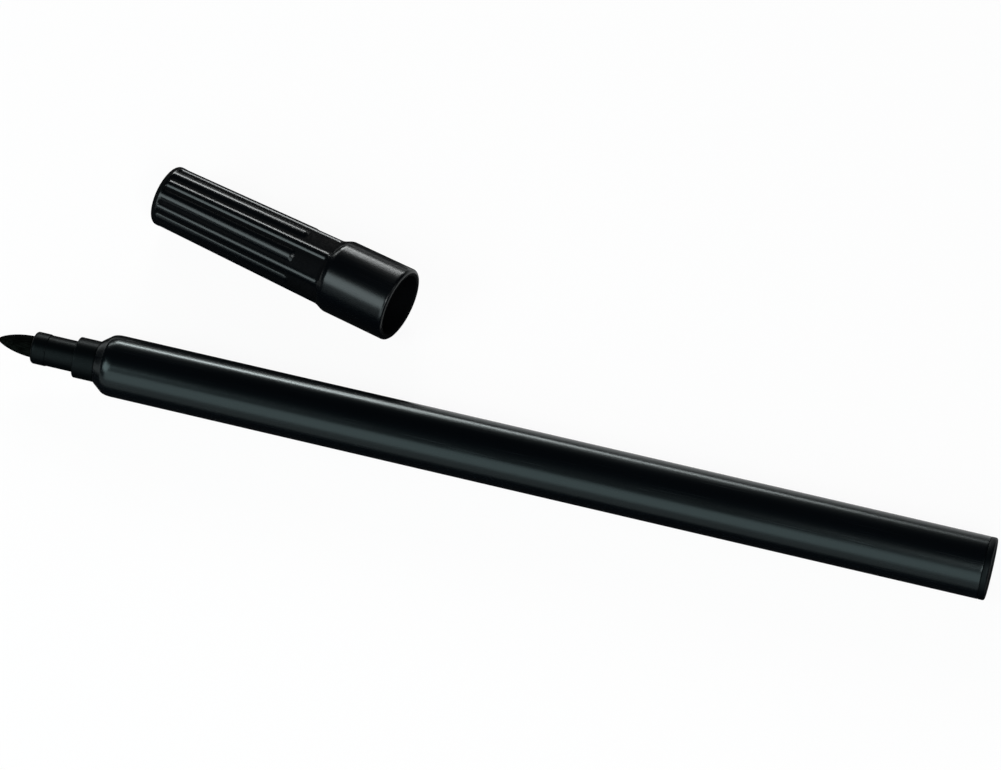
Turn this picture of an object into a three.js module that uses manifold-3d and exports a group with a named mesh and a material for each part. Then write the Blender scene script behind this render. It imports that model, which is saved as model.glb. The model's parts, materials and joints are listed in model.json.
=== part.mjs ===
// Fibre-tip pen with its cap taken off and lying beside it.
// Millimetres, +Z up. The pen lies along X on z = 0, its nib towards -X, and the cap lies behind it (+Y).
// Each turned piece is drawn as [along, radius] points, measured along its own axis.

import * as THREE from 'three';
import { mergeVertices, toCreasedNormals } from 'three/addons/utils/BufferGeometryUtils.js';
import Module from 'manifold-3d';

// Barrel: a moulded tube whose front closes in to a lip round the nib holder.
const BARREL_DIA = 8.6;
const BARREL_WALL = 0.75;
const BARREL_LENGTH = 121.65; // the straight part, from the shoulder to the end plug
const LIP_WALL = 0.46;
const CONE_LENGTH = 1.2; // of the shoulder, next to the lip
const CONE_DEPTH = 0.4; // how far below the barrel's side the cone stops
const ROUND_LENGTH = 1.65; // of the shoulder, from the cone to the barrel's side

// Ribs along the inside of the barrel: tall ones hold the nib holder's shank, low ones centre the reservoir.
const INNER_RIB_COUNT = 6;
const INNER_RIB_WIDTH = 0.6;
const INNER_RIB_HEIGHT = 0.35;

// Nib: a rod of pressed fibre with a bullet point in front and a blunt cone behind.
const NIB_DIA = 3.0;
const NIB_EXPOSED = 5.2;
const NIB_POINT_ROUND = 0.5; // how blunt the very tip is
const NIB_OGIVE_PULL = 2.0; // how early the point fills out to the rod
const NIB_SINK = 6.5; // how deep it stands in the reservoir
const NIB_TAIL_LENGTH = 1.6;
const NIB_TAIL_DIA = 1.6;

// Nib holder: bead, tube, collar and the shank that is pushed into the barrel.
const TUBE_WALL = 0.62;
const BEAD_RISE = 0.08;
const COLLAR_RISE = 0.69;
const BEAD_LENGTH = 2.2;
const BEAD_ROUND = 0.55;
const TUBE_LENGTH = 4.05;
const COLLAR_LENGTH = 3.05;
const COLLAR_CHAMFER = 0.15;
const SHANK_INSET = 0.38; // from the collar's side in to the shank's
const SHANK_LENGTH = 5.9;
const SHANK_LEAD = 0.5;
const SNAP_AT = 1.4; // from the collar to the ring that clicks into the lip's bore
const SNAP_WIDTH = 0.5;
const SNAP_RISE = 0.12;
const VENT_COUNT = 3; // air grooves along the shank
const VENT_WIDTH = 0.6;
const VENT_DEPTH = 0.4;

// Reservoir: a fibre rod in a thin film.
const FILM_WALL = 0.12;

// End plug: a flange that shows, and a cored spigot with crush ribs.
const FLANGE_LENGTH = 0.9;
const FLANGE_ROUND = 0.3;
const SPIGOT_LENGTH = 10.3;
const SPIGOT_WALL = 0.9;
const SPIGOT_PLAY = 0.1; // from the spigot's side to the barrel's bore, which the crush ribs bridge
const CRUSH_RIB_COUNT = 8;
const CRUSH_RIB_WIDTH = 0.5;
const CRUSH_RIB_LENGTH = 5.5;

// Cap: a ribbed, slightly tapered body, a ramp, and a plain skirt that slides over the barrel.
const CAP_END_DIA = 8.87;
const CAP_END_WALL = 1.2;
const CAP_END_ROUND = 0.4;
const CAP_WALL = 0.72; // under the grooves
const CAP_AIR_SPACE = 7.7; // between the closed end and the inner cap
const SKIRT_WALL = 0.85;
const SKIRT_FLARE = 0.04;
const SKIRT_LAP = 9.9; // how far the skirt covers the barrel
const SKIRT_SLIDE = 0.15; // clearance round the barrel
const LIP_ROUND = 0.2; // at the cap's mouth
const RAMP_STEP = 0.45;
const RAMP_LENGTH = 1.6;
const RAMP_LEAD = 0.2; // from the seat inside to the ramp's top outside

// Ribs round the cap's body: every second one stops short of the ramp.
const CAP_RIB_COUNT = 14;
const CAP_RIB_HEIGHT = 0.3;
const CAP_RIB_SHARE = 0.6; // of the pitch, and the groove beside the rib has the rest
const CAP_RIB_START = 1.2;
const CAP_RIB_ROUND = 0.9; // length over which a rib or groove runs out
const SHORT_RIB_GAP = 4.0; // from a short rib's end to the ramp
const STOP_FIN_THICKNESS = 0.7; // crossed fins inside, on which the inner cap stands

// Inner cap: the liner that seals round the holder's collar.
const LINER_END_WALL = 0.9;
const LINER_ROUND = 0.3; // at its closed end
const LINER_NIB_ROOM = 1.4; // in front of the nib when the cap is on
const LINER_SEAT_STEP = 1.2; // the liner ends this far short of the barrel's seat
const SEAL_WIDTH = 1.5;
const SEAL_RISE = 0.07;
const LINER_PLAY = 0.09; // round the collar, outside the seal

// Clearances of pressed fits, and between faces that seat on each other.
const FIT = 0.05;
const SEAT = 0.05;

// How the cap lies beside the pen.
const CAP_LIES_ALONG = 15.0; // from the nib's tip to the closed end
const CAP_LIES_ASIDE = 29.6; // from the pen's axis to the closed end
const CAP_LIES_TURNED = 15.4; // degrees, mouth towards the pen
const CAP_LIES_ROLLED = 7.9; // degrees, from straight up to the nearest rib

// Facets round each kind of piece.
const BARREL_FACETS = 72;
const HOLDER_FACETS = 48;
const NIB_FACETS = 36;

// Radii that follow from the sizes above.
const barrelR = BARREL_DIA / 2;
const barrelBoreR = barrelR - BARREL_WALL;
const nibR = NIB_DIA / 2;
const nibBoreR = nibR + FIT;
const tubeR = nibBoreR + TUBE_WALL;
const collarR = tubeR + COLLAR_RISE;
const shankR = collarR - SHANK_INSET;
const lipBoreR = shankR + FIT;
const filmR = barrelBoreR - INNER_RIB_HEIGHT - FIT;
const reservoirR = filmR - FILM_WALL - FIT;
const spigotR = barrelBoreR - SPIGOT_PLAY;

// Places along the pen, from the tip of the nib.
const holderFront = NIB_EXPOSED;
const beadEnd = holderFront + BEAD_LENGTH;
const tubeEnd = beadEnd + TUBE_LENGTH;
const collarEnd = tubeEnd + COLLAR_LENGTH;
const lipFront = collarEnd + SEAT;
const coneEnd = lipFront + CONE_LENGTH;
const shoulderEnd = coneEnd + ROUND_LENGTH;
const barrelEnd = shoulderEnd + BARREL_LENGTH;
const shankEnd = collarEnd + SHANK_LENGTH;
const reservoirFront = shankEnd + SEAT;
const flangeFront = barrelEnd + SEAT;
const penEnd = flangeFront + FLANGE_LENGTH;
const spigotFront = flangeFront - SPIGOT_LENGTH;
const reservoirEnd = spigotFront - SEAT;

const wasm = await Module();
wasm.setup();

// Turns a closed outline of [along, radius] points round the X axis.
function turn(outline, facets) {
  const points = outline.map(([along, radius]) => new THREE.Vector2(radius, along));
  return new THREE.LatheGeometry(points, facets).rotateZ(-Math.PI / 2);
}

// The points of a smooth bend from one point of an outline to another, drawn towards a corner.
function bend(from, corner, to, steps) {
  const [a, b, c] = [from, corner, to].map((p) => new THREE.Vector2(...p));
  return new THREE.QuadraticBezierCurve(a, b, c).getPoints(steps).map((p) => [p.x, p.y]);
}

// A closed geometry as a solid that can be joined and cut.
function toSolid(geometry) {
  const bare = geometry.clone();
  bare.deleteAttribute('normal');
  bare.deleteAttribute('uv');
  const merged = mergeVertices(bare, 1e-5);
  const corners = merged.index.array;
  const triangles = [];
  for (let i = 0; i < corners.length; i += 3) {
    const [a, b, c] = corners.slice(i, i + 3);
    if (a !== b && b !== c && c !== a) triangles.push(a, b, c);
  }
  const vertProperties = Float32Array.from(merged.attributes.position.array);
  const triVerts = Uint32Array.from(triangles);
  return new wasm.Manifold(new wasm.Mesh({ numProp: 3, vertProperties, triVerts }));
}

function toGeometry(solid) {
  const { vertProperties, triVerts } = solid.getMesh();
  const geometry = new THREE.BufferGeometry();
  geometry.setAttribute('position', new THREE.BufferAttribute(vertProperties, 3));
  geometry.setIndex(new THREE.BufferAttribute(triVerts, 1));
  return geometry;
}

// Copies of a geometry, spread evenly round the X axis.
function around(count, geometry) {
  return Array.from({ length: count }, (_, i) => geometry.clone().rotateX((2 * Math.PI * i) / count));
}

// A plate through the X axis's upper half: an outline of [along, radius] points, given a thickness.
function plate(outline, thickness) {
  const shape = new THREE.Shape(outline.map((p) => new THREE.Vector2(...p)));
  const geometry = new THREE.ExtrudeGeometry(shape, { depth: thickness, bevelEnabled: false });
  return geometry.translate(0, 0, -thickness / 2);
}

function join(geometry, parts) {
  return toGeometry(parts.reduce((solid, part) => solid.add(toSolid(part)), toSolid(geometry)));
}

function cut(geometry, parts) {
  return toGeometry(parts.reduce((solid, part) => solid.subtract(toSolid(part)), toSolid(geometry)));
}

const CREASE = THREE.MathUtils.degToRad(32);

function piece(name, geometry, color, roughness) {
  const material = new THREE.MeshStandardMaterial({ color, roughness, metalness: 0 });
  const mesh = new THREE.Mesh(toCreasedNormals(geometry, CREASE), material);
  mesh.name = name;
  return mesh;
}

const GLOSSY_BLACK = '#0b0c0d';
const FIBRE_BLACK = '#141416';
const FILM_GREY = '#c9ccce';

// Nib
const nibPoint = new THREE.CubicBezierCurve(
  new THREE.Vector2(0, 0),
  new THREE.Vector2(0, NIB_POINT_ROUND),
  new THREE.Vector2(NIB_OGIVE_PULL, nibR),
  new THREE.Vector2(NIB_EXPOSED, nibR),
);
const nibEnd = reservoirFront + NIB_SINK;
const nib = turn([
  ...nibPoint.getPoints(10).map((p) => [p.x, p.y]),
  [nibEnd - NIB_TAIL_LENGTH, nibR],
  [nibEnd, NIB_TAIL_DIA / 2],
  [nibEnd, 0],
], NIB_FACETS);

// Nib holder
const beadR = tubeR + BEAD_RISE;
const snapFrom = collarEnd + SNAP_AT;
const holderTurned = turn([
  [holderFront, nibBoreR],
  ...bend([holderFront, beadR - BEAD_ROUND], [holderFront, beadR], [holderFront + BEAD_ROUND, beadR], 4),
  ...bend([beadEnd - 2 * BEAD_RISE, beadR], [beadEnd - BEAD_RISE, beadR], [beadEnd, tubeR], 3),
  [tubeEnd, tubeR],
  [tubeEnd, collarR - COLLAR_CHAMFER],
  [tubeEnd + COLLAR_CHAMFER, collarR],
  [collarEnd, collarR],
  [collarEnd, shankR],
  [snapFrom, shankR],
  [snapFrom + SNAP_RISE, shankR + SNAP_RISE],
  [snapFrom + SNAP_WIDTH - SNAP_RISE, shankR + SNAP_RISE],
  [snapFrom + SNAP_WIDTH, shankR],
  [shankEnd - SHANK_LEAD, shankR],
  [shankEnd, shankR - SHANK_LEAD / 2],
  [shankEnd, nibBoreR],
  [holderFront, nibBoreR],
], HOLDER_FACETS);
const vent = new THREE.BoxGeometry(SHANK_LENGTH, VENT_WIDTH, 2 * VENT_DEPTH);
vent.translate(collarEnd + SHANK_LENGTH / 2 + SEAT, 0, shankR);
const nibHolder = cut(holderTurned, around(VENT_COUNT, vent));

// Barrel
const snapRoom = SNAP_RISE + FIT;
const neckEnd = snapFrom + SNAP_WIDTH + 2 * SNAP_RISE;
const neckFlareEnd = neckEnd + (barrelBoreR - lipBoreR);
const barrelTurned = turn([
  [lipFront, lipBoreR],
  [lipFront, lipBoreR + LIP_WALL],
  [coneEnd, barrelR - CONE_DEPTH],
  ...bend([coneEnd, barrelR - CONE_DEPTH], [coneEnd + CONE_DEPTH, barrelR], [shoulderEnd, barrelR], 6).slice(1),
  [barrelEnd, barrelR],
  [barrelEnd, barrelBoreR],
  [neckFlareEnd, barrelBoreR],
  [neckEnd, lipBoreR],
  [snapFrom + SNAP_WIDTH, lipBoreR],
  [snapFrom + SNAP_WIDTH - SNAP_RISE, lipBoreR + snapRoom],
  [snapFrom + SNAP_RISE, lipBoreR + snapRoom],
  [snapFrom, lipBoreR],
  [lipFront, lipBoreR],
], BARREL_FACETS);
const ribRoot = barrelBoreR + BARREL_WALL / 2;
const ribTop = barrelBoreR - INNER_RIB_HEIGHT;
const innerRib = plate([
  [neckEnd, lipBoreR],
  [shankEnd, lipBoreR],
  [shankEnd, ribTop],
  [reservoirEnd, ribTop],
  [reservoirEnd, ribRoot],
  [shoulderEnd, ribRoot],
  [shoulderEnd, barrelBoreR],
  [neckEnd, barrelBoreR],
], INNER_RIB_WIDTH);
const barrel = join(barrelTurned, around(INNER_RIB_COUNT, innerRib));

// Ink reservoir, with the pocket that the nib stands in, and its film
const pocketEnd = nibEnd + SEAT;
const inkReservoir = turn([
  [reservoirFront, nibBoreR],
  [reservoirFront, reservoirR],
  [reservoirEnd, reservoirR],
  [reservoirEnd, 0],
  [pocketEnd, 0],
  [pocketEnd, NIB_TAIL_DIA / 2 + FIT],
  [pocketEnd - NIB_TAIL_LENGTH, nibBoreR],
  [reservoirFront, nibBoreR],
], NIB_FACETS);
const reservoirFilm = turn([
  [reservoirFront, reservoirR + FIT],
  [reservoirFront, filmR],
  [reservoirEnd, filmR],
  [reservoirEnd, reservoirR + FIT],
  [reservoirFront, reservoirR + FIT],
], NIB_FACETS);

// End plug
const spigotCoreR = spigotR - SPIGOT_WALL;
const plugTurned = turn([
  [spigotFront, spigotCoreR],
  [spigotFront, spigotR - SPIGOT_PLAY],
  [spigotFront + SPIGOT_PLAY, spigotR],
  [flangeFront, spigotR],
  [flangeFront, barrelR],
  ...bend([penEnd - FLANGE_ROUND, barrelR], [penEnd, barrelR], [penEnd, barrelR - FLANGE_ROUND], 4),
  [penEnd, 0],
  [flangeFront, 0],
  [flangeFront, spigotCoreR],
  [spigotFront, spigotCoreR],
], BARREL_FACETS);
const crushRibTop = spigotR + SPIGOT_PLAY - FIT;
const crushRib = plate([
  [flangeFront - CRUSH_RIB_LENGTH - SPIGOT_PLAY, spigotR - SPIGOT_PLAY],
  [flangeFront + FLANGE_LENGTH / 4, spigotR - SPIGOT_PLAY],
  [flangeFront + FLANGE_LENGTH / 4, crushRibTop],
  [flangeFront - CRUSH_RIB_LENGTH, crushRibTop],
], CRUSH_RIB_WIDTH);
const endPlug = join(plugTurned, around(CRUSH_RIB_COUNT, crushRib));

// Places along the cap, from its closed end. With the cap on, the barrel's shoulder ends at the seat.
const linerEnd = CAP_END_WALL + CAP_AIR_SPACE;
const linerBottom = linerEnd + LINER_END_WALL;
const tipWhenOn = linerBottom + LINER_NIB_ROOM;
const seat = tipWhenOn + shoulderEnd;
const capLength = seat + SKIRT_LAP;
const rampEnd = seat + RAMP_LEAD;
const rampStart = rampEnd - RAMP_LENGTH;

const capEndR = CAP_END_DIA / 2;
const skirtBoreR = barrelR + SKIRT_SLIDE;
const skirtR = skirtBoreR + SKIRT_WALL;
const capRampR = skirtR - RAMP_STEP;

const { lerp, smoothstep, clamp } = THREE.MathUtils;

// The cap body's bore runs parallel to the grooves' floor.
const bodyR = (along) => lerp(capEndR, capRampR, (along - CAP_END_ROUND) / (rampStart - CAP_END_ROUND));
const boreR = (along) => bodyR(along) - CAP_RIB_HEIGHT - CAP_WALL;

// The outside of the cap without its grooves.
function capSideR(along) {
  if (along < CAP_END_ROUND) {
    const rise = clamp(along / CAP_END_ROUND, 0, 1);
    return capEndR - CAP_END_ROUND * (1 - Math.sqrt(1 - (1 - rise) ** 2));
  }
  if (along < rampStart) return bodyR(along);
  if (along < rampEnd) return lerp(bodyR(rampStart), skirtR, smoothstep(along, rampStart, rampEnd));
  const side = skirtR + SKIRT_FLARE * ((along - rampEnd) / SKIRT_LAP);
  const toLip = clamp((along - (capLength - LIP_ROUND)) / LIP_ROUND, 0, 1);
  return side - LIP_ROUND * (1 - Math.sqrt(1 - toLip ** 2));
}

// Across one rib pitch, from the middle of one groove to the next: [share of the pitch, share of the rib's height].
// A rib is a round bead, and the groove's floor is flat.
const RIB_SECTION = [
  [-0.5, 0],
  ...[-1, -0.5, 0, 0.5, 1].map((side) => [(side * CAP_RIB_SHARE) / 2, 1 - side ** 2]),
];

// How much of a groove is left at a place on the cap: 0 at a rib's crown and beyond the grooves' ends, 1 at its floor.
function grooveShare(along, height, short) {
  const runIn = smoothstep(along, CAP_RIB_START, CAP_RIB_START + CAP_RIB_ROUND);
  const runOut = 1 - smoothstep(along, rampStart - CAP_RIB_ROUND, rampStart);
  const ribEnd = rampStart - SHORT_RIB_GAP;
  const stands = short ? 1 - smoothstep(along, ribEnd - CAP_RIB_ROUND, ribEnd) : 1;
  return runIn * runOut * (1 - height * stands);
}

function capRing(along) {
  const ring = [];
  for (let rib = 0; rib < CAP_RIB_COUNT; rib += 1) {
    for (const [across, height] of RIB_SECTION) {
      const angle = ((rib + across) / CAP_RIB_COUNT) * 2 * Math.PI;
      const radius = capSideR(along) - CAP_RIB_HEIGHT * grooveShare(along, height, rib % 2 === 1);
      ring.push(new THREE.Vector3(along, -radius * Math.sin(angle), radius * Math.cos(angle)));
    }
  }
  return ring;
}

// Skins a row of rings of equal count and closes both ends on the X axis.
function loft(rings) {
  const count = rings[0].length;
  const points = rings.flat();
  const faces = [];
  for (let r = 0; r + 1 < rings.length; r += 1) {
    for (let i = 0; i < count; i += 1) {
      const a = r * count + i;
      const b = r * count + ((i + 1) % count);
      faces.push(a, b, a + count, b, b + count, a + count);
    }
  }
  const first = points.push(new THREE.Vector3(rings[0][0].x, 0, 0)) - 1;
  const last = points.push(new THREE.Vector3(rings.at(-1)[0].x, 0, 0)) - 1;
  const lastRing = (rings.length - 1) * count;
  for (let i = 0; i < count; i += 1) {
    const next = (i + 1) % count;
    faces.push(first, next, i, last, lastRing + i, lastRing + next);
  }
  return new THREE.BufferGeometry().setFromPoints(points).setIndex(faces);
}

// Places for the rings: steps through each rounding, ramp and run-out, and none along the straight parts.
const steps = (from, to, count) => Array.from({ length: count + 1 }, (_, i) => lerp(from, to, i / count));
const shortRibEnd = rampStart - SHORT_RIB_GAP;
const ringPlaces = [
  ...steps(0, CAP_END_ROUND, 3),
  ...steps(CAP_RIB_START, CAP_RIB_START + CAP_RIB_ROUND, 4),
  ...steps(shortRibEnd - CAP_RIB_ROUND, shortRibEnd, 4),
  ...steps(rampStart - CAP_RIB_ROUND, rampStart, 4),
  ...steps(rampStart, rampEnd, 6).slice(1),
  ...steps(capLength - LIP_ROUND, capLength, 3),
];
const capOutside = loft(ringPlaces.map(capRing));

// Cap shell: hollowed by a stepped bore, with crossed fins at the closed end
const seatStart = seat - (skirtBoreR - boreR(seat));
const capHollow = turn([
  [CAP_END_WALL, 0],
  [CAP_END_WALL, boreR(CAP_END_WALL)],
  [seatStart, boreR(seatStart)],
  [seat, skirtBoreR],
  [capLength - LIP_ROUND, skirtBoreR],
  [capLength + LIP_ROUND, skirtBoreR + 2 * LIP_ROUND],
  [capLength + LIP_ROUND, 0],
], BARREL_FACETS);
const finReach = boreR(CAP_END_WALL) + CAP_WALL / 2;
const fin = plate([
  [CAP_END_WALL / 2, -finReach],
  [linerEnd - SEAT, -finReach],
  [linerEnd - SEAT, finReach],
  [CAP_END_WALL / 2, finReach],
], STOP_FIN_THICKNESS);
const capShell = join(cut(capOutside, [capHollow]), [fin, fin.clone().rotateX(Math.PI / 2)]);

// Inner cap
const linerBoreR = collarR + LINER_PLAY;
const linerMouth = seatStart - LINER_SEAT_STEP;
const sealTo = tipWhenOn + collarEnd - SEAL_WIDTH / 2;
const sealFrom = sealTo - SEAL_WIDTH;
const innerCap = turn([
  [linerEnd, 0],
  [linerEnd, boreR(linerEnd) - 2 * FIT - LINER_ROUND],
  [linerEnd + LINER_ROUND, boreR(linerEnd) - 2 * FIT],
  [linerMouth, boreR(linerMouth) - 2 * FIT],
  [linerMouth, linerBoreR + SEAL_RISE],
  [linerMouth - SEAL_RISE, linerBoreR],
  [sealTo + SEAL_RISE, linerBoreR],
  [sealTo, linerBoreR - SEAL_RISE],
  [sealFrom, linerBoreR - SEAL_RISE],
  [sealFrom - SEAL_RISE, linerBoreR],
  [linerBottom + LINER_ROUND, linerBoreR],
  [linerBottom, linerBoreR - LINER_ROUND],
  [linerBottom, 0],
], HOLDER_FACETS);

// The pen
const pen = new THREE.Group();
pen.add(
  piece('barrel', barrel, GLOSSY_BLACK, 0.25),
  piece('nib_holder', nibHolder, GLOSSY_BLACK, 0.3),
  piece('nib', nib, FIBRE_BLACK, 0.95),
  piece('ink_reservoir', inkReservoir, FIBRE_BLACK, 0.9),
  piece('reservoir_film', reservoirFilm, FILM_GREY, 0.4),
  piece('end_plug', endPlug, GLOSSY_BLACK, 0.3),
);

// The cap, tilted as it rests on its closed end's edge and on its skirt, which touches at the ramp or at the mouth
const rimPlace = capLength - LIP_ROUND;
const restSlope = Math.max(...[rampEnd, rimPlace].map((c) => (capSideR(c) - capEndR) / (c - CAP_END_ROUND)));
const cap = new THREE.Group();
cap.add(
  piece('cap_shell', capShell, GLOSSY_BLACK, 0.25),
  piece('inner_cap', innerCap, GLOSSY_BLACK, 0.35),
);
const { degToRad } = THREE.MathUtils;
cap.rotation.order = 'ZYX';
cap.rotation.set(degToRad(CAP_LIES_ROLLED), -Math.atan(restSlope), -degToRad(CAP_LIES_TURNED));
cap.position.set(CAP_LIES_ALONG, CAP_LIES_ASIDE, 0);

// Both rest on z = 0, and the origin is under the middle of their common box.
for (const lying of [pen, cap]) {
  lying.position.z -= new THREE.Box3().setFromObject(lying, true).min.z;
}
const together = new THREE.Group();
together.add(pen, cap);
const middle = new THREE.Box3().setFromObject(together, true).getCenter(new THREE.Vector3());
together.position.set(-middle.x, -middle.y, 0);

const assembly = new THREE.Group();
assembly.add(together);
assembly.updateMatrixWorld(true);

export default assembly;
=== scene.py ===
"""A fibre-tip pen that lies on its side, with its cap taken off and lying behind it.

Each piece is modelled in millimetres along its own axis, and put in its place in metres at the end.
"""

import json
import math

import bmesh
import bpy
from mathutils import Matrix, Vector
from mathutils.geometry import interpolate_bezier


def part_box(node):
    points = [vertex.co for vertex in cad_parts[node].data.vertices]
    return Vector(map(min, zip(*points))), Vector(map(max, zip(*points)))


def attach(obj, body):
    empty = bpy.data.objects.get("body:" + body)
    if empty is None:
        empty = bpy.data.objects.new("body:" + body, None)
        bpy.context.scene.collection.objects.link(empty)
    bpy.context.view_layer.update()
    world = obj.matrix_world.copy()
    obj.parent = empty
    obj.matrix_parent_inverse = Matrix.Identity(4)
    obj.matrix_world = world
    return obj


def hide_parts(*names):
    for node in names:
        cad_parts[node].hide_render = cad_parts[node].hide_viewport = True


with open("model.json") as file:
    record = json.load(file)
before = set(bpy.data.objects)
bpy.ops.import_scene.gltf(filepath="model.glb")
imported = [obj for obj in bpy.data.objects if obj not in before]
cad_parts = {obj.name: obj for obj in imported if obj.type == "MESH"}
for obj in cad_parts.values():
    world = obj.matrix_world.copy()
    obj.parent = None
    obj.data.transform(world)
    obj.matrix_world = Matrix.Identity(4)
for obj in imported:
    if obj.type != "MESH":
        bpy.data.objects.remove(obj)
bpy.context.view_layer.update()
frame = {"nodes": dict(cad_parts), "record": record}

# Camera: stands in front of the pen and well above it, turned a little towards the plug, with a long lens.
# The pen's nib points at the left edge of the picture.
CAMERA_TURN = math.radians(15.53)
CAMERA_RISE = math.radians(55.85)
CAMERA_REACH = 0.679
CAMERA_TARGET = Vector((-0.00197, -0.00081, 0.0))
CAMERA_LENS = 176.8
back = Vector((
    math.sin(CAMERA_TURN) * math.cos(CAMERA_RISE),
    -math.cos(CAMERA_TURN) * math.cos(CAMERA_RISE),
    math.sin(CAMERA_RISE),
))
camera = bpy.data.objects.new("camera", bpy.data.cameras.new("camera"))
camera.data.lens = CAMERA_LENS
camera.data.clip_start = 0.01
camera.location = CAMERA_TARGET + CAMERA_REACH * back
camera.rotation_euler = back.to_track_quat("Z", "Y").to_euler()
bpy.context.scene.collection.objects.link(camera)
bpy.context.scene.camera = camera


# Nib: a rod of bonded fibre, ground to a bullet point and soaked with black ink.
# It is pushed through the holder until its tail stands in the reservoir.
NIB_R = 1.5
NIB_POINT = 5.2
NIB_LENGTH = 26.95
NIB_TAIL = 1.6
NIB_TAIL_R = 0.8
NIB_BLUNTNESS = 0.45  # how far the point's curve runs square to the axis
NIB_FULLNESS = 2.4  # where the curve's last pull starts along the point
SUPPORT = 0.22  # how close to a corner its supporting ring lies
SHARP_ANGLE = math.radians(38)
BLOTCH_SCALE = 600  # the noise scale, per metre, whose blotches are a millimetre across


def turned(outline, facets):
    """An outline of (along, radius) or (along, radius, rounding) points, turned round the X axis."""
    work = bmesh.new()
    points = [work.verts.new((point[0], 0, point[1])) for point in outline]
    closed = outline[0][1] > 0
    for start, end in zip(points, points[1:] + points[:1] if closed else points[1:]):
        work.edges.new((start, end))
    for point, (_, _, *rounding) in zip(points, outline):
        if rounding:
            bmesh.ops.bevel(
                work, geom=[point], offset=rounding[0], offset_type="OFFSET", segments=5, profile=0.5,
                affect="VERTICES", material=-1,
            )
    for edge in [e for e in work.edges if e.calc_length() > 3 * SUPPORT]:
        length = edge.calc_length()
        rest, _ = bmesh.utils.edge_split(edge, edge.verts[0], SUPPORT / length)
        rest = max(rest, edge, key=lambda e: e.calc_length())
        bmesh.utils.edge_split(rest, rest.verts[0], 1 - SUPPORT / rest.calc_length())
    bmesh.ops.spin(
        work, geom=[*work.verts, *work.edges], cent=(0, 0, 0), axis=(1, 0, 0), dvec=(0, 0, 0),
        angle=2 * math.pi, steps=facets, use_merge=True, use_duplicate=False,
    )
    bmesh.ops.remove_doubles(work, verts=work.verts, dist=1e-4)
    bmesh.ops.recalc_face_normals(work, faces=work.faces)
    return work


def piece(name, work, place, finish):
    """The mesh as an object in its place, smooth except across its sharp edges."""
    bmesh.ops.transform(work, matrix=place, verts=work.verts)
    mesh = bpy.data.meshes.new(name)
    work.to_mesh(mesh)
    work.free()
    mesh.shade_smooth()
    mesh.set_sharp_from_angle(angle=SHARP_ANGLE)
    mesh.materials.append(finish.material)
    made = bpy.data.objects.new(name, mesh)
    bpy.context.scene.collection.objects.link(made)
    return made


class Wire:
    """An output of a node, which is added and multiplied as a number is."""

    def __init__(self, finish, socket):
        self.finish = finish
        self.socket = socket

    def sum(self, operation, other):
        return self.finish.node("Math", {0: self, 1: other}, operation=operation)

    def __add__(self, other):
        return self.sum("ADD", other)

    def __mul__(self, other):
        return self.sum("MULTIPLY", other)

    __radd__ = __add__
    __rmul__ = __mul__


class Finish:
    """A material with its shader. node() adds any other node, and wear() feeds the shader."""

    def __init__(self, name, **fixed):
        self.material = bpy.data.materials.new(name)
        self.material.use_nodes = True
        self.nodes = self.material.node_tree.nodes
        self.links = self.material.node_tree.links
        self.shader = self.nodes["Principled BSDF"]
        self.wear({name.replace("_", " "): value for name, value in fixed.items()})

    def feed(self, socket, value):
        if isinstance(value, Wire):
            self.links.new(value.socket, socket)
        else:
            socket.default_value = value

    def node(self, kind, sockets=None, output=0, **settings):
        made = self.nodes.new("ShaderNode" + kind)
        for name, value in settings.items():
            setattr(made, name, value)
        for name, value in (sockets or {}).items():
            self.feed(made.inputs[name], value)
        return Wire(self, made.outputs[output])

    def wear(self, sockets):
        for name, value in sockets.items():
            self.feed(self.shader.inputs[name], value)

    def mix(self, share, first, second):
        """A blend from the first colour to the second."""
        sockets = {"Factor": share, 6: first, 7: second}
        return self.node("Mix", sockets, output=2, data_type="RGBA", clamp_factor=True)

    def grain(self, place, size, stretch=1.0, detail=3.0):
        """Noise whose blotches are about size millimetres across and stretch times as long along X."""
        where = self.node("Mapping", {"Vector": place, "Scale": (1 / stretch, 1.0, 1.0)})
        sockets = {"Vector": where, "Scale": BLOTCH_SCALE / size, "Detail": detail, "Roughness": 0.55}
        return self.node("TexNoise", sockets)

    def span(self, value, low, high, to_low=0.0, to_high=1.0):
        """The value, smoothly stretched from one range to another."""
        sockets = {"Value": value, "From Min": low, "From Max": high, "To Min": to_low, "To Max": to_high}
        return self.node("MapRange", sockets, interpolation_type="SMOOTHSTEP")

    def along(self, place):
        """The piece's own coordinates, with X along its axis from the middle of its front."""
        origin, turn, _ = place.decompose()
        where = self.node("TexCoord", output="Object")
        sockets = {"Vector": where, "Location": origin, "Rotation": turn.to_euler()}
        return self.node("Mapping", sockets, vector_type="TEXTURE")


nib_low, nib_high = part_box("nib")
nib_middle = (nib_low + nib_high) / 2
pen_place = Matrix.Translation((nib_low.x, nib_middle.y, nib_middle.z)) @ Matrix.Scale(0.001, 4)

nib_finish = Finish("ink_soaked_fibre", Specular_IOR_Level=0.01)
on_nib = nib_finish.along(pen_place)
nib_strands = nib_finish.grain(on_nib, 0.09, stretch=14.0)
nib_clots = nib_finish.grain(on_nib, 0.7, stretch=2.0)
nib_dry = nib_finish.span(nib_strands + 0.4 * nib_clots, 0.62, 0.86)
nib_finish.wear({
    "Base Color": nib_finish.mix(nib_dry, (0.0003, 0.0006, 0.0004, 1), (0.0024, 0.0032, 0.0027, 1)),
    "Roughness": nib_finish.span(nib_clots, 0.3, 0.7, 0.72, 0.92),
    "Normal": nib_finish.node("Bump", {
        "Height": nib_strands + 0.7 * nib_clots, "Strength": 0.7, "Distance": 0.00008,
    }),
})

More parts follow.
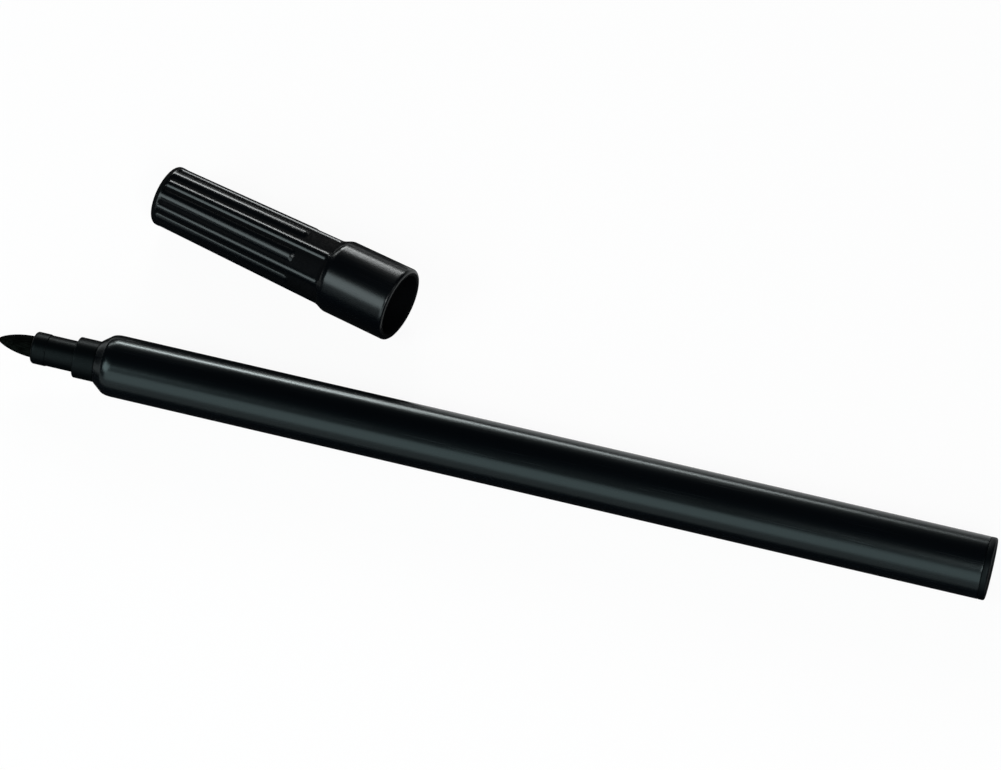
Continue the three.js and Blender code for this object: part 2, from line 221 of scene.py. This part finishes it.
point_curve = interpolate_bezier((0, 0), (0, NIB_BLUNTNESS), (NIB_FULLNESS, NIB_R), (NIB_POINT, NIB_R), 28)
nib = piece("nib_point", turned([
    *[(point.x, point.y) for point in point_curve],
    (NIB_LENGTH - NIB_TAIL, NIB_R),
    (NIB_LENGTH, NIB_TAIL_R),
    (NIB_LENGTH, 0),
], 72), pen_place, nib_finish)
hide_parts("nib")
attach(nib, "pen")


# Nib holder: one stepped moulding of black polypropylene, with a bead, a tube and a collar in front.
# Its shank, with a snap ring and three air grooves, is pushed into the barrel.
HOLDER_FRONT = 5.2
HOLDER_BORE_R = 1.55
BEAD_R = 2.25
BEAD_ROUND = 0.45
BEAD_END = 7.4
BEAD_SLOPE = 0.1
TUBE_R = 2.17
TUBE_END = 11.45
COLLAR_R = 2.86
COLLAR_END = 14.5
SHANK_R = 2.48
SHANK_END = 20.4
SHANK_LEAD = 0.5
SHANK_LEAD_R = 2.23
SNAP_START = 15.9
SNAP_END = 16.4
SNAP_SLOPE = 0.12
SNAP_R = 2.6
VENT_COUNT = 3
VENT_REACH = 7  # degrees to each side of its middle
VENT_DEPTH = 0.4


def moulded_black(name, place, color, gloss, shine=0.22, tint=(0.80, 1.0, 1.0, 1), stretch=3.0):
    """Black moulded plastic: faint clouds in its gloss, an uneven skin and fine rubbed lines along it."""
    finish = Finish(name, IOR=1.49, Specular_IOR_Level=shine, Specular_Tint=tint)
    where = finish.along(place)
    clouds = finish.grain(where, 9.0, stretch=stretch)
    skin = finish.grain(where, 0.8, detail=2.0)
    lines = finish.grain(where, 0.12, stretch=60.0, detail=1.0)
    rubbed = finish.span(lines, 0.60, 0.74)
    pale = tuple(1.9 * c for c in color)
    finish.wear({
        "Base Color": finish.mix(clouds, (*color, 1), (*pale, 1)),
        "Roughness": finish.span(clouds, 0.3, 0.7, gloss - 0.03, gloss + 0.04) + 0.05 * rubbed,
        "Normal": finish.node("Bump", {"Height": skin + 0.15 * lines, "Strength": 0.12, "Distance": 0.00004}),
    })
    return finish


holder_finish = moulded_black("holder_black", pen_place, (0.0003, 0.0006, 0.0008), 0.38, shine=0.055)
holder_mesh = turned([
    (HOLDER_FRONT, HOLDER_BORE_R),
    (HOLDER_FRONT, BEAD_R, BEAD_ROUND),
    (BEAD_END - BEAD_SLOPE, BEAD_R, 0.08),
    (BEAD_END, TUBE_R),
    (TUBE_END, TUBE_R, 0.08),
    (TUBE_END, COLLAR_R, 0.16),
    (COLLAR_END, COLLAR_R, 0.07),
    (COLLAR_END, SHANK_R),
    (SNAP_START, SHANK_R),
    (SNAP_START + SNAP_SLOPE, SNAP_R),
    (SNAP_END - SNAP_SLOPE, SNAP_R),
    (SNAP_END, SHANK_R),
    (SHANK_END - SHANK_LEAD, SHANK_R),
    (SHANK_END, SHANK_LEAD_R),
    (SHANK_END, HOLDER_BORE_R),
], 72)


def in_vent(face):
    """Whether a face of the holder lies on the shank's side, in the path of an air groove."""
    middle = face.calc_center_median()
    pitch = 360 / VENT_COUNT
    turn = math.degrees(math.atan2(middle.y, middle.z)) % pitch
    on_side = middle.x > COLLAR_END + 0.1 and middle.yz.length > SHANK_R - 0.1 and abs(face.normal.x) < 0.8
    return on_side and min(turn, pitch - turn) < VENT_REACH


vents = [face for face in holder_mesh.faces if in_vent(face)]
bmesh.ops.inset_region(holder_mesh, faces=vents, thickness=0.02, depth=-VENT_DEPTH, use_even_offset=True)
holder = piece("nib_holder_moulding", holder_mesh, pen_place, holder_finish)
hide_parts("nib_holder")
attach(holder, "pen")


# Reservoir: a rod of bundled polyester fibre that holds the ink, in a thin wrapped film with a lapped seam.
# Both are hidden in the barrel and keep the frame's own shapes.
def bundled_fibre():
    finish = Finish("reservoir_fibre", Specular_IOR_Level=0.2)
    where = finish.along(pen_place)
    strands = finish.grain(where, 0.12, stretch=40.0)
    soaked = finish.grain(where, 6.0, stretch=4.0)
    finish.wear({
        "Base Color": finish.mix(strands, (0.004, 0.004, 0.005, 1), (0.035, 0.036, 0.04, 1)),
        "Roughness": finish.span(soaked, 0.3, 0.7, 0.6, 0.95),
        "Normal": finish.node("Bump", {"Height": strands, "Strength": 0.8, "Distance": 0.0001}),
    })
    return finish


def wrapped_film():
    finish = Finish("wrapped_film", IOR=1.49)
    where = finish.along(pen_place)
    wave = finish.node("TexWave", {"Vector": where, "Scale": 18.0, "Distortion": 0.4}, bands_direction="X")
    creases = finish.grain(where, 1.4, stretch=6.0)
    finish.wear({
        "Base Color": finish.mix(wave, (0.50, 0.52, 0.54, 1), (0.66, 0.67, 0.68, 1)),
        "Roughness": finish.span(creases, 0.3, 0.7, 0.18, 0.34),
        "Alpha": finish.span(creases, 0.3, 0.7, 0.38, 0.5),
        "Normal": finish.node("Bump", {"Height": creases + 0.3 * wave, "Strength": 0.3, "Distance": 0.0001}),
    })
    return finish


for node, finish in (("ink_reservoir", bundled_fibre()), ("reservoir_film", wrapped_film())):
    for material_slot in frame["nodes"][node].material_slots:
        material_slot.material = finish.material


# Barrel: a long black tube moulded in polypropylene, whose front closes in a shoulder to a lip round the
# holder. Its polished side shows long soft highlights. Ribs inside hold the shank and centre the reservoir.
LIP_FRONT = 14.55
LIP_BORE_R = 2.53
LIP_R = 2.99
CONE_END = 15.75
CONE_R = 3.9
SHOULDER_END = 17.4
BARREL_R = 4.3
BARREL_END = 139.05
BARREL_BORE_R = 3.55
NECK_END = 16.64
SNAP_GROOVE_R = 2.7
INNER_RIB_COUNT = 6
INNER_RIB_WIDTH = 0.6
INNER_RIB_R = 3.2
INNER_RIB_END = 128.75
INNER_RIB_ROOT_R = 3.85  # inside the barrel's wall

barrel_finish = moulded_black("barrel_black", pen_place, (0.0003, 0.0006, 0.0010), 0.22, stretch=7.0)
shoulder = interpolate_bezier(
    (CONE_END, CONE_R), (CONE_END + 0.28, CONE_R + 0.27),
    (CONE_END + 0.85, BARREL_R), (SHOULDER_END, BARREL_R), 14,
)
barrel_mesh = turned([
    (LIP_FRONT, LIP_BORE_R),
    (LIP_FRONT, LIP_R, 0.1),
    *[(point.x, point.y) for point in shoulder],
    (BARREL_END, BARREL_R, 0.06),
    (BARREL_END, BARREL_BORE_R),
    (NECK_END + BARREL_BORE_R - LIP_BORE_R, BARREL_BORE_R),
    (NECK_END, LIP_BORE_R),
    (SNAP_END, LIP_BORE_R),
    (SNAP_END - SNAP_SLOPE, SNAP_GROOVE_R),
    (SNAP_START + SNAP_SLOPE, SNAP_GROOVE_R),
    (SNAP_START, LIP_BORE_R),
], 144)


def add_bars(work, count, apart, start, end, width, low, high):
    """Bars round the X axis, some degrees apart, from start to end along it and from low to high off it."""
    place = Matrix.Translation(((start + end) / 2, 0, (low + high) / 2))
    size = Matrix.Diagonal((end - start, width, high - low, 1))
    for bar in range(count):
        turn = Matrix.Rotation(math.radians(apart * bar), 4, "X")
        bmesh.ops.create_cube(work, size=1.0, matrix=turn @ place @ size)


add_bars(
    barrel_mesh, INNER_RIB_COUNT, 360 / INNER_RIB_COUNT, SHOULDER_END, INNER_RIB_END,
    INNER_RIB_WIDTH, INNER_RIB_R, INNER_RIB_ROOT_R,
)
barrel = piece("barrel_moulding", barrel_mesh, pen_place, barrel_finish)
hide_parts("barrel")
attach(barrel, "pen")


# End plug: a black moulding whose flange closes the barrel's rear end.
# Its cored spigot is pressed in and held by eight crush ribs.
FLANGE_FRONT = 139.1
PEN_END = 140.0
SPIGOT_FRONT = 128.8
SPIGOT_R = 3.45
SPIGOT_CORE_R = 2.55
DIMPLE_DEPTH = 0.1  # where the mould's gate was, in the middle of the flange
DIMPLE_R = 0.75
CRUSH_RIB_COUNT = 8
CRUSH_RIB_LENGTH = 5.5
CRUSH_RIB_WIDTH = 0.5
CRUSH_RIB_R = 3.5
CRUSH_RIB_ROOT_R = 3.25  # inside the spigot's wall

plug_finish = moulded_black("plug_black", pen_place, (0.0003, 0.0006, 0.0009), 0.4, shine=0.07, stretch=1.0)
plug_mesh = turned([
    (PEN_END - DIMPLE_DEPTH, 0),
    (PEN_END - DIMPLE_DEPTH, DIMPLE_R - 0.1),
    (PEN_END, DIMPLE_R, 0.05),
    (PEN_END, BARREL_R, 0.3),
    (FLANGE_FRONT, BARREL_R, 0.06),
    (FLANGE_FRONT, SPIGOT_R),
    (SPIGOT_FRONT, SPIGOT_R, 0.1),
    (SPIGOT_FRONT, SPIGOT_CORE_R),
    (FLANGE_FRONT, SPIGOT_CORE_R),
    (FLANGE_FRONT, 0),
], 96)
add_bars(
    plug_mesh, CRUSH_RIB_COUNT, 360 / CRUSH_RIB_COUNT, FLANGE_FRONT - CRUSH_RIB_LENGTH, FLANGE_FRONT,
    CRUSH_RIB_WIDTH, CRUSH_RIB_ROOT_R, CRUSH_RIB_R,
)
plug = piece("end_plug_moulding", plug_mesh, pen_place, plug_finish)
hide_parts("end_plug")
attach(plug, "pen")


# Cap shell: a black moulding with fourteen grip ribs on a slightly tapered body, then a ramp up to a plain
# skirt. Every second rib has a broader crown and stops short of the ramp. Ribs and skirt are polished, and
# the grooves, the bore and both ends are left matt.
CAP_ROLL = math.radians(7.9)
CAP_END_R = 4.435
CAP_END_ROUND = 0.4
GATE_R = 0.8  # the dimple that the mould's gate leaves in the closed end
GATE_DEPTH = 0.1
RAMP_START = 27.2
RAMP_END = 28.8
RAMP_R = 4.85
SKIRT_R = 5.3
MOUTH_R = 5.34
CAP_LENGTH = 38.5
SKIRT_BORE_R = 4.45
SEAT = 28.6
SEAT_START = 28.0
BODY_BORE_R = 3.84
END_BORE_R = 3.43
CAP_END_WALL = 1.2
BORE_SIDE_R = 4.0  # lies inside the wall, up to the seat
SKIRT_SIDE_R = 4.6  # lies inside the wall, past the seat
RIB_COUNT = 14
RIB_FACETS = 20  # in each pitch
RIB_HEIGHT = 0.28
RIB_START = 0.7
RIB_RUN_IN = 0.45
RIB_ROUND = 0.9
RIB_FADE = 26.9  # where the grooves start to run out into the ramp
RIB_GONE = 28.2
SHORT_RIB_END = 23.2
LONG_RIB = (0.36, 1.8)  # half its width as a share of the pitch, and how full its crown is
SHORT_RIB = (0.47, 2.3)
MATT_GROOVE = 0.15  # a groove is matt where it has more than this share of its depth,
MATT_RISE = 0.3  # and where the rib rises less than this share of its height
FIN_START = 0.6
FIN_END = 8.85
FIN_THICKNESS = 0.7
FIN_REACH = 3.7

cap_mount = next(m for m in frame["record"]["mounts"] if m["name"] == "cap_end_face")
cap_axis = -Vector(cap_mount["axis"])
cap_place = (
    Matrix.Translation(cap_mount["pos_m"])
    @ Matrix.Rotation(math.atan2(cap_axis.y, cap_axis.x), 4, "Z")
    @ Matrix.Rotation(-math.asin(cap_axis.z), 4, "Y")
    @ Matrix.Rotation(CAP_ROLL, 4, "X")
    @ Matrix.Scale(0.001, 4)
)


def ease(value, start, end):
    """A smooth step from 0 at start to 1 at end."""
    share = min(max((value - start) / (end - start), 0.0), 1.0)
    return share * share * (3 - 2 * share)


def rib_rise(across, short):
    """The height of a rib at a share of the pitch from its crown: a round bead on a flat floor."""
    half_width, fullness = SHORT_RIB if short else LONG_RIB
    return max(0.0, 1 - abs(across / half_width) ** fullness)


cap_mesh = turned([
    (GATE_DEPTH, 0),
    (GATE_DEPTH, GATE_R - 0.1),
    (0, GATE_R, 0.05),
    (0, CAP_END_R, CAP_END_ROUND),
    (RAMP_START, RAMP_R),
    (RAMP_END, SKIRT_R),
    (CAP_LENGTH, MOUTH_R, 0.45),
    (CAP_LENGTH, SKIRT_BORE_R, 0.2),
    (SEAT, SKIRT_BORE_R),
    (SEAT_START, BODY_BORE_R),
    (CAP_END_WALL, END_BORE_R),
    (CAP_END_WALL, 0),
], RIB_COUNT * RIB_FACETS)
rings = [RIB_START + RIB_RUN_IN * i / 6 for i in range(7)]
rings += [SHORT_RIB_END - RIB_ROUND + RIB_ROUND * i / 8 for i in range(9)]
rings += [RIB_FADE + (RAMP_END - RIB_FADE) * i / 20 for i in range(20)]
for ring in rings:
    bmesh.ops.bisect_plane(
        cap_mesh, geom=[*cap_mesh.verts, *cap_mesh.edges, *cap_mesh.faces], dist=1e-5,
        plane_co=(ring, 0, 0), plane_no=(1, 0, 0),
    )
matt = set()
for vert in cap_mesh.verts:
    radius = vert.co.yz.length
    inside_r = BORE_SIDE_R if vert.co.x < SEAT_START - 0.1 else SKIRT_SIDE_R
    in_bore = vert.co.x > CAP_END_WALL / 2 and radius < inside_r
    if in_bore or vert.co.x > CAP_LENGTH - 0.01 or vert.co.x < RIB_START + 0.01:
        matt.add(vert)
    if in_bore or not CAP_END_ROUND < vert.co.x < RAMP_END:
        continue
    turn = math.atan2(-vert.co.y, vert.co.z) / (2 * math.pi) * RIB_COUNT
    rib = round(turn)
    short = rib % 2
    rise = rib_rise(turn - rib, short)
    if short:
        rise *= 1 - ease(vert.co.x, SHORT_RIB_END - RIB_ROUND, SHORT_RIB_END)
    groove = ease(vert.co.x, RIB_START, RIB_START + RIB_RUN_IN) * (1 - ease(vert.co.x, RIB_FADE, RIB_GONE))
    side = radius
    if vert.co.x > RAMP_START:
        side = RAMP_R + (SKIRT_R - RAMP_R) * ease(vert.co.x, RAMP_START, RAMP_END)
    side -= RIB_HEIGHT * groove * (1 - rise)
    vert.co.y *= side / radius
    vert.co.z *= side / radius
    if groove > MATT_GROOVE and rise < MATT_RISE:
        matt.add(vert)
for face in cap_mesh.faces:
    if matt.issuperset(face.verts):
        face.material_index = 1
add_bars(cap_mesh, 2, 90, FIN_START, FIN_END, FIN_THICKNESS, -FIN_REACH, FIN_REACH)
cap_finish = moulded_black("cap_black", cap_place, (0.0004, 0.0007, 0.0011), 0.24, tint=(0.93, 1.0, 1.0, 1))
cap_floor_finish = Finish("cap_black_matt", Specular_IOR_Level=0.04, Roughness=0.7)
on_floor = cap_floor_finish.along(cap_place)
eroded = cap_floor_finish.grain(on_floor, 0.18, detail=2.0)
cap_floor_finish.wear({
    "Base Color": cap_floor_finish.mix(eroded, (0.0005, 0.0007, 0.0010, 1), (0.0014, 0.0018, 0.0023, 1)),
    "Roughness": cap_floor_finish.span(eroded, 0.3, 0.7, 0.62, 0.8),
    "Normal": cap_floor_finish.node("Bump", {"Height": eroded, "Strength": 0.5, "Distance": 0.00003}),
})
cap = piece("cap_shell_moulding", cap_mesh, cap_place, cap_finish)
cap.data.materials.append(cap_floor_finish.material)
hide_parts("cap_shell")
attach(cap, "cap")


# Inner cap: a plain black polyethylene liner, pressed into the cap until it stands on crossed fins.
# Its seal ring closes round the holder's collar, so that the nib doesn't dry.
LINER_START = 8.9
LINER_MOUTH = 26.8
LINER_BORE_R = 2.95
LINER_START_R = 3.45
LINER_MOUTH_R = 3.72
LINER_END_WALL = 0.9
SEAL_START = 22.95
SEAL_END = 24.45
SEAL_SLOPE = 0.1
SEAL_R = 2.88

liner_finish = moulded_black("liner_black", cap_place, (0.0030, 0.0032, 0.0034), 0.45)
liner = piece("inner_cap_moulding", turned([
    (LINER_START, 0),
    (LINER_START, LINER_START_R - 0.02, 0.3),
    (LINER_MOUTH, LINER_MOUTH_R, 0.1),
    (LINER_MOUTH, LINER_BORE_R, 0.08),
    (SEAL_END + SEAL_SLOPE, LINER_BORE_R),
    (SEAL_END, SEAL_R),
    (SEAL_START, SEAL_R),
    (SEAL_START - SEAL_SLOPE, LINER_BORE_R),
    (LINER_START + LINER_END_WALL, LINER_BORE_R, 0.3),
    (LINER_START + LINER_END_WALL, 0),
], 96), cap_place, liner_finish)
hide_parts("inner_cap")
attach(liner, "cap")


# Floor: a plain pale sheet under the pen. The camera sees it nearly white, with the pen's faint shadow, and
# reflections see it darker, as the pen's lower sides mirror it in the photograph.
WHITE_IN_VIEW = 0.93
WHITE_IN_GLOSS = 0.3
FLOOR_REACH = 3.0

floor_mesh = bmesh.new()
bmesh.ops.create_grid(floor_mesh, x_segments=1, y_segments=1, size=FLOOR_REACH)
floor_finish = Finish("pale_floor", Base_Color=(0.86, 0.86, 0.86, 1), Roughness=0.9, Specular_IOR_Level=0.1)
camera_ray, glossy_ray, through_ray = (
    floor_finish.node("LightPath", output=f"Is {kind} Ray") for kind in ("Camera", "Glossy", "Transmission")
)
white = floor_finish.node("Emission", {"Color": (1, 1, 1, 1), "Strength": 1.0})
seen = floor_finish.node("MixShader", {
    0: WHITE_IN_VIEW * (camera_ray + through_ray) + WHITE_IN_GLOSS * glossy_ray,
    1: Wire(floor_finish, floor_finish.shader.outputs[0]),
    2: white,
})
floor_finish.links.new(seen.socket, floor_finish.nodes["Material Output"].inputs["Surface"])
floor = piece("floor", floor_mesh, Matrix.Identity(4), floor_finish)

# Backdrop: a wide dome of the same white, for views from near the floor.
# Only the camera sees it, so it lights nothing and shows in no reflection.
DOME_R = 2.9

dome_mesh = bmesh.new()
bmesh.ops.create_uvsphere(dome_mesh, u_segments=48, v_segments=24, radius=DOME_R)
dome = piece("backdrop", dome_mesh, Matrix.Identity(4), floor_finish)
dome.visible_diffuse = dome.visible_glossy = dome.visible_shadow = False

# Painted shadow card: a dark sheet lies flat under the pen and its cap, and only their reflections see it.
# It paints deeper shade into their reflections where they touch the floor, as their sides mirror it in the
# photograph. Its wing behind the cap paints the dark line along the cap's rear edge.
SHADOW_SHEET_SIZE = (0.150, 0.0517)
SHADOW_SHEET_MIDDLE = (0.0, -0.00135)
SHADOW_SHEET_CORNER = Vector((-0.014, -0.0057, 0))
SHADOW_WING_SIZE = (0.060, 0.0605)
SHADOW_WING_MIDDLE = (-0.050, 0.05475)
SHADOW_SHEET_LIFT = 0.00002


def add_sheet(work, middle, size):
    """A flat rectangle with this middle and size."""
    shape = Matrix.Translation((*middle, 0)) @ Matrix.Diagonal((*size, 1, 1))
    bmesh.ops.create_grid(work, x_segments=1, y_segments=1, size=0.5, matrix=shape)


painted_shadow_mesh = bmesh.new()
add_sheet(painted_shadow_mesh, SHADOW_SHEET_MIDDLE, SHADOW_SHEET_SIZE)
for cut in ((1, 0, 0), (0, 1, 0)):
    bmesh.ops.bisect_plane(
        painted_shadow_mesh, geom=[*painted_shadow_mesh.verts, *painted_shadow_mesh.edges, *painted_shadow_mesh.faces], dist=1e-6,
        plane_co=SHADOW_SHEET_CORNER, plane_no=cut,
    )
corner = [f for f in painted_shadow_mesh.faces if min((f.calc_center_median() - SHADOW_SHEET_CORNER).xy) > 0]
bmesh.ops.delete(painted_shadow_mesh, geom=corner, context="FACES")
add_sheet(painted_shadow_mesh, SHADOW_WING_MIDDLE, SHADOW_WING_SIZE)
# A near-black colour that stands in for shade, seen only in reflections: painted shadow.
painted_shadow_finish = Finish("painted_shadow_card", Base_Color=(0.02, 0.02, 0.02, 1), Roughness=0.9, Specular_IOR_Level=0.1)
painted_shadow_sheet = piece("painted_shadow_card", painted_shadow_mesh, Matrix.Translation((0, 0, SHADOW_SHEET_LIFT)), painted_shadow_finish)
painted_shadow_sheet.visible_camera = painted_shadow_sheet.visible_diffuse = painted_shadow_sheet.visible_transmission = painted_shadow_sheet.visible_shadow = False

# Lamps: low strips behind draw the thin highlights, and two boxes in front give the soft glow on the near
# sides. A tall strip beyond the plug shows along the barrel from the nib's end. The rest of the room is dark.
STRIP_AIM = 0.004  # the height that the strips aim at, about the pen's middle
BOX_WHITE = (0.88, 0.98, 1.0)
ROOM_LIGHT = 0.02


def soft_light(name, turn, rise, reach, size, power, target=(0, 0, 0), color=(1, 1, 1)):
    """A soft lamp that faces the target from a direction: degrees from -Y towards +X, and degrees up."""
    lamp = bpy.data.objects.new(name, bpy.data.lights.new(name, "AREA"))
    lamp.data.shape = "RECTANGLE"
    lamp.data.size, lamp.data.size_y = size
    lamp.data.energy = power
    lamp.data.color = color
    turn, rise = math.radians(turn), math.radians(rise)
    away = Vector((math.sin(turn) * math.cos(rise), -math.cos(turn) * math.cos(rise), math.sin(rise)))
    lamp.location = Vector(target) + reach * away
    lamp.rotation_euler = away.to_track_quat("Z", "Y").to_euler()
    lamp.visible_camera = False
    bpy.context.scene.collection.objects.link(lamp)


soft_light("strip_behind_cap", 180, 34, 0.5, (0.28, 0.055), 0.55, target=(-0.36, 0, STRIP_AIM))
soft_light("strip_behind_nose", 180, 25.5, 0.5, (0.12, 0.06), 0.72, target=(-0.16, 0, STRIP_AIM))
soft_light("strip_behind_middle", 180, 18, 0.5, (0.14, 0.055), 0.43, target=(-0.06, 0, STRIP_AIM))
soft_light("strip_behind_plug", 180, 18, 0.5, (0.2, 0.055), 0.10, target=(0.12, 0, STRIP_AIM))
soft_light("box_in_front", -2, 15.5, 0.6, (0.7, 0.4), 2.85, color=BOX_WHITE)
soft_light("box_at_the_left", -46, 35.5, 0.6, (0.28, 0.27), 1.78, color=BOX_WHITE)
soft_light("spot_at_the_right", 28, 47, 0.6, (0.16, 0.16), 1.5)
soft_light("tall_strip_beyond_plug", 90, 30, 0.7, (0.1, 0.5), 0.35)

world = bpy.data.worlds.new("studio")
bpy.context.scene.world = world
world.use_nodes = True
world.node_tree.nodes["Background"].inputs["Color"].default_value = (1, 1, 1, 1)
world.node_tree.nodes["Background"].inputs["Strength"].default_value = ROOM_LIGHT

bpy.context.scene.view_settings.view_transform = "Standard"
